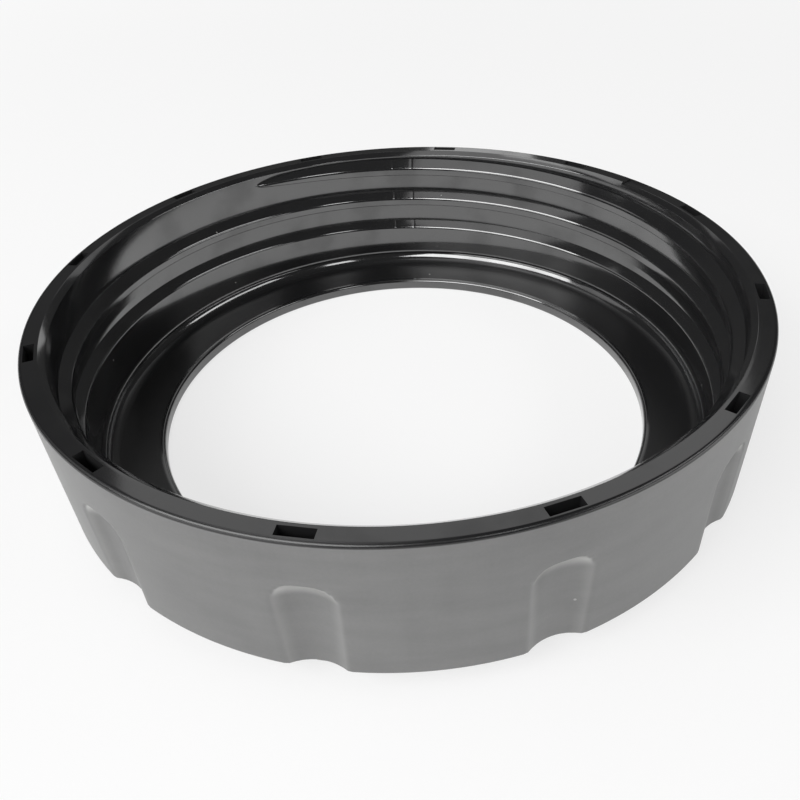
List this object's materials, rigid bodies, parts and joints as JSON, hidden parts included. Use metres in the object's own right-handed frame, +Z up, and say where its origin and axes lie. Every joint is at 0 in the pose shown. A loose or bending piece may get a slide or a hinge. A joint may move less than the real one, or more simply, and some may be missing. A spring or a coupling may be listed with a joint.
{
  "type": "blender threaded base ring",
  "caption": "Moulded collar that screws on the foot of a blender jar and holds the blade unit: threaded mouth, open flange, finger flutes and rim pockets.",
  "frame": {"origin": "centre of the bottom face, the lower side of the flange", "axes": "+Z up along the ring's axis towards the threaded mouth, +X through the middle of a finger flute and its rim pocket"},
  "size_m": [0.11, 0.11, 0.0257],
  "materials": {
    "black_plastic": "black moulded plastic with a soft gloss, plain and unpainted"
  },
  "bodies": {
    "root": {"threaded_ring": "black_plastic"}
  },
  "joints": []
}
